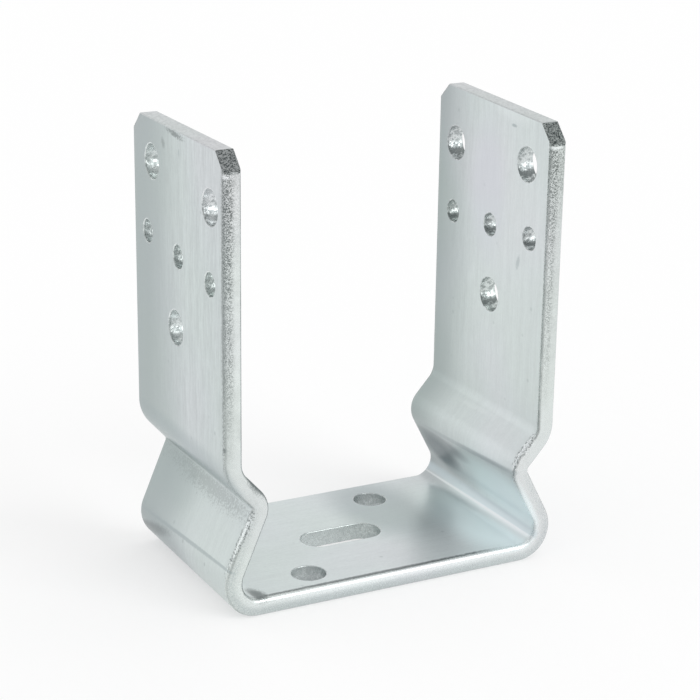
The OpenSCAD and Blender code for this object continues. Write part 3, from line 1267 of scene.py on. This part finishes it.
    def _round(self, mesh: Mesh) -> None:
        """Rounds the rolled edges, the rims of the holes and the sheared ends.

        Args:
            mesh: The thick blank.
        """
        half = self.width / 2
        rolled = [
            edge for edge in mesh.edges
            if all(abs(abs(vert.co.y) - half) < TINY for vert in edge.verts)
            and abs(edge.verts[0].co.z - edge.verts[1].co.z) < TINY
        ]
        front = [edge for edge in rolled if edge.verts[0].co.y < 0]
        back = [edge for edge in rolled if edge.verts[0].co.y > 0]
        self._bevel(mesh, front, self.edge_radius, self.edge_segments)
        back = [edge for edge in back if edge.is_valid]
        self._bevel(mesh, back, self.back_edge_radius, self.edge_segments)
        rims = [edge for edge in mesh.edges if self._borders(edge, Zone.WALL)]
        self._bevel(mesh, rims, self.rim_rounding, self.rim_segments)
        sheared = (Zone.END, Zone.CLIP)
        ends = [edge for edge in mesh.edges if any(self._borders(edge, zone) for zone in sheared)]
        self._bevel(mesh, ends, self.end_rounding, self.end_segments)

    @staticmethod
    def _bevel(mesh: Mesh, edges: list[bmesh.types.BMEdge], offset: float, segments: int) -> None:
        """Rounds edges with an arc."""
        bmesh.ops.bevel(
            mesh, geom=edges, offset=offset, offset_type="OFFSET", segments=segments, profile=0.5,
            affect="EDGES", material=-1, clamp_overlap=True,
        )

    def _borders(self, edge: bmesh.types.BMEdge, zone: Zone) -> bool:
        """Tells whether an edge lies between an upright wall of a zone and another face.

        Args:
            edge: The edge.
            zone: The wall's zone.

        Returns:
            True where it does.
        """
        walls = [
            abs(face.normal.z) < self.upright_limit and self.zone_of(face.calc_center_median()) is zone
            for face in edge.link_faces
        ]
        return any(walls) and not all(walls)

    def zone_of(self, place: Vector) -> Zone:
        """Zone of a place on the surface of the flat blank.

        Args:
            place: The place.

        Returns:
            Its zone.
        """
        if self._hole_at(place, -TINY):
            return Zone.WALL
        middle, out, along = self._end_axes(Side.RIGHT if place.x > 0 else Side.LEFT)
        from_middle = place.to_2d() - middle
        from_end = -from_middle.dot(out)
        from_corner = self.width / 2 - abs(from_middle.dot(along))
        from_clip = (from_end + from_corner - self.corner_clip) / math.sqrt(2)
        if min(from_end, from_clip) < self.end_rounding - TINY:
            return Zone.END if from_end < from_clip else Zone.CLIP
        radius = self.edge_radius if place.y < 0 else self.back_edge_radius
        if self.width / 2 - abs(place.y) < radius - TINY:
            return Zone.EDGE
        return Zone.FACE

    def _hole_at(self, place: Vector, slack: float) -> Hole | None:
        """Finds the hole whose wall or rim holds a place.

        Args:
            place: The place on the flat blank.
            slack: How far past the rim's rounding the place may be.

        Returns:
            The hole, or nothing where there is none.
        """
        for hole in self.holes:
            if hole.distance(place.x, place.y) < hole.radius + self.rim_rounding + slack:
                return hole
        return None

    def _place_in_hole(self, side: Side, place: Vector) -> Triple:
        """Place of a corner of a hole's wall.

        Args:
            side: The half of the blank that holds it.
            place: The corner on the flat blank.

        Returns:
            Its place up, across and through from the hole's middle, in radii of the hole.
        """
        hole = self._hole_at(place, TINY)
        if hole is None:
            return 0.0, 0.0, 0.0
        up = side.value * (place.x - hole.along)
        return up / hole.radius, (place.y - hole.across) / hole.radius, place.z / hole.radius

    def _fold(self, mesh: Mesh) -> None:
        """Folds the finished blank, after noting each corner's place on it.

        Args:
            mesh: The blank.
        """
        noted = mesh.verts.layers.float_vector.new(BLANK_ATTRIBUTE)
        in_hole = mesh.verts.layers.float_vector.new(HOLE_ATTRIBUTE)
        flat_middle = self.width / 2 - 2 * self.edge_radius
        for vert in mesh.verts:
            along, across, height = vert.co
            vert[noted] = (along, across, height)
            side = Side.RIGHT if along > 0 else Side.LEFT
            vert[in_hole] = self._place_in_hole(side, vert.co)
            path = self.paths[side]
            place = path.place(abs(along), height)
            if abs(across) > flat_middle:
                across += math.copysign(self.side_swell * path.swell(abs(along), height), across)
            vert.co = (side.value * place.x, across, place.y)

    def build(self) -> bpy.types.Object:
        """Makes the strip.

        Returns:
            The strip's object, in the scene, with its zones as material slots.
        """
        mesh = self._sheet()
        self._punch(mesh)
        self._thicken(mesh)
        self._round(mesh)
        for face in mesh.faces:
            face.material_index = self.zone_of(face.calc_center_median()).value
            face.smooth = True
        self._fold(mesh)
        strip = new_object("folded_strip", mesh)
        shading = strip.modifiers.new("flat_faces_shade_flat", "WEIGHTED_NORMAL")
        shading.weight = self.shading_weight
        shading.keep_sharp = True
        return strip

    def dress(self, strip: bpy.types.Object) -> None:
        """Gives each zone its finish and seats the strip on the frame.

        Args:
            strip: The strip's object.
        """
        shop = ZincShop(self.width / 2, self.paths[Side.RIGHT].breaks[1])
        for zone in Zone:
            strip.data.materials.append(shop.material(zone, FINISHES[zone]))
        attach(strip, "root")
        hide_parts(NODE)


@dataclass
class Studio:
    """Pale floor, soft light and the camera at the photograph's angle.

    Lights of the surroundings are what reflects in the zinc, and their ramps run by direction.
    """

    floor_size: float = 8.0
    floor_colour: Colour = (0.96, 0.96, 0.96)
    floor_glow: float = 0.5

    sky_strength: float = 0.87
    wall_light: float = 1.08
    front_light: float = 0.75
    gap_light: float = 0.60
    ceiling_light: float = 0.85
    ceiling_from: Ramp = Ramp(0.60, 0.80)
    front_from: Ramp = Ramp(0.0, -0.5)
    front_up_to: Ramp = Ramp(0.72, 0.45)
    gap_from: Ramp = Ramp(0.48, 0.56)
    gap_up_to: Ramp = Ramp(0.80, 0.68)

    key_strength: float = 1.15
    key_spread: float = math.radians(42.0)
    key_from: Triple = (0.40, -0.80, 0.44)

    camera_azimuth: float = math.radians(-27.7431)
    camera_elevation: float = math.radians(18.3517)
    camera_roll: float = math.radians(0.8093)
    camera_distance: float = 570.69 * MM
    aim_height: float = 75.0 * MM
    aim_shift: tuple[float, float] = (1.0262 * MM, -13.8528 * MM)
    sensor: float = 36.0
    lens: float = 105.93
    near_clip: float = 10.0 * MM

    def build(self) -> None:
        """Makes the floor, the light and the camera."""
        self._floor()
        self._sky()
        self._key()
        self._camera()
        bpy.context.scene.view_settings.view_transform = "Standard"

    def _floor(self) -> None:
        """Makes the plain pale floor under the base."""
        mesh = bmesh.new()
        bmesh.ops.create_grid(mesh, x_segments=1, y_segments=1, size=self.floor_size / 2)
        floor = new_object("floor", mesh)
        material = bpy.data.materials.new("pale_floor")
        sheet = empty_sheet(material)
        matt = sheet.add("ShaderNodeBsdfDiffuse", {"Color": opaque(self.floor_colour)})
        white = sheet.add("ShaderNodeEmission", {"Strength": 1.0})
        glow = sheet.product(self._seen(sheet), self.floor_glow)
        both = {0: glow, 1: matt.outputs["BSDF"], 2: white.outputs["Emission"]}
        surface = sheet.add("ShaderNodeMixShader", both).outputs["Shader"]
        sheet.add("ShaderNodeOutputMaterial", {"Surface": surface})
        floor.data.materials.append(material)

    @staticmethod
    def _seen(sheet: NodeSheet) -> Socket:
        """Tells what is seen from light on matt surfaces.

        Args:
            sheet: Sheet of the material or world.

        Returns:
            1 for what is seen directly, in a reflection or through something, and 0 for the rest.
        """
        path = sheet.add("ShaderNodeLightPath").outputs
        seen = sheet.math("MAXIMUM", path["Is Camera Ray"], path["Is Glossy Ray"])
        return sheet.math("MAXIMUM", seen, path["Is Transmission Ray"])

    def _sky(self) -> None:
        """Makes even light for matt surfaces, and walls and a ceiling of unlike brightness to reflect."""
        world = bpy.data.worlds.new("studio")
        sheet = empty_sheet(world)
        strength = sheet.blend(self._seen(sheet), self.sky_strength, self._surroundings(sheet))
        sky = {"Color": opaque(even(1.0)), "Strength": strength}
        background = sheet.add("ShaderNodeBackground", sky).outputs["Background"]
        sheet.add("ShaderNodeOutputWorld", {"Surface": background})
        bpy.context.scene.world = world

    def _surroundings(self, sheet: NodeSheet) -> Socket:
        """Surroundings for reflections.

        Args:
            sheet: Sheet of the world.

        Returns:
            Their brightness by direction.
        """
        _, depth, up = sheet.parts(sheet.add("ShaderNodeTexCoord").outputs["Generated"])
        ceiling = sheet.span(up, self.ceiling_from)
        front = sheet.product(sheet.span(depth, self.front_from), sheet.span(up, self.front_up_to))
        gap = sheet.product(sheet.span(up, self.gap_from), sheet.span(up, self.gap_up_to))
        wall = sheet.blend(front, self.wall_light, self.front_light)
        wall = sheet.blend(gap, wall, self.gap_light)
        return sheet.blend(ceiling, wall, self.ceiling_light)

    def _key(self) -> None:
        """Makes the broad soft key light."""
        light = bpy.data.lights.new("key", "SUN")
        light.energy = self.key_strength
        light.angle = self.key_spread
        lamp = bpy.data.objects.new("key", light)
        lamp.rotation_euler = Vector(self.key_from).to_track_quat("Z", "Y").to_euler()
        bpy.context.scene.collection.objects.link(lamp)

    def _camera(self) -> None:
        """Makes the camera at the photograph's angle."""
        azimuth, elevation, roll = self.camera_azimuth, self.camera_elevation, self.camera_roll
        level = Vector((math.sin(azimuth), -math.cos(azimuth), 0.0))
        back = level * math.cos(elevation) + Vector((0.0, 0.0, math.sin(elevation)))
        right = Vector((math.cos(azimuth), math.sin(azimuth), 0.0))
        up = back.cross(right)
        aim = Vector((0.0, 0.0, self.aim_height)) + right * self.aim_shift[0] + up * self.aim_shift[1]
        turned_right = right * math.cos(roll) + up * math.sin(roll)
        turned_up = up * math.cos(roll) - right * math.sin(roll)
        data = bpy.data.cameras.new("camera")
        data.sensor_width = self.sensor
        data.lens = self.lens
        data.clip_start = self.near_clip
        camera = bpy.data.objects.new("camera", data)
        turn = Matrix((turned_right, turned_up, back)).transposed().to_4x4()
        camera.matrix_world = Matrix.Translation(aim + back * self.camera_distance) @ turn
        bpy.context.scene.collection.objects.link(camera)
        bpy.context.scene.camera = camera


def main() -> None:
    """Builds the strip and the studio around the frame."""
    logging.basicConfig(level=logging.INFO, format="%(name)s: %(message)s")
    low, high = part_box(NODE)
    post_base = PostBase(low, high)
    strip = post_base.build()
    post_base.dress(strip)
    LOG.info("%s: %d faces, %d holes", strip.name, len(strip.data.polygons), len(post_base.holes))
    Studio().build()


if __name__ == "__main__":
    main()
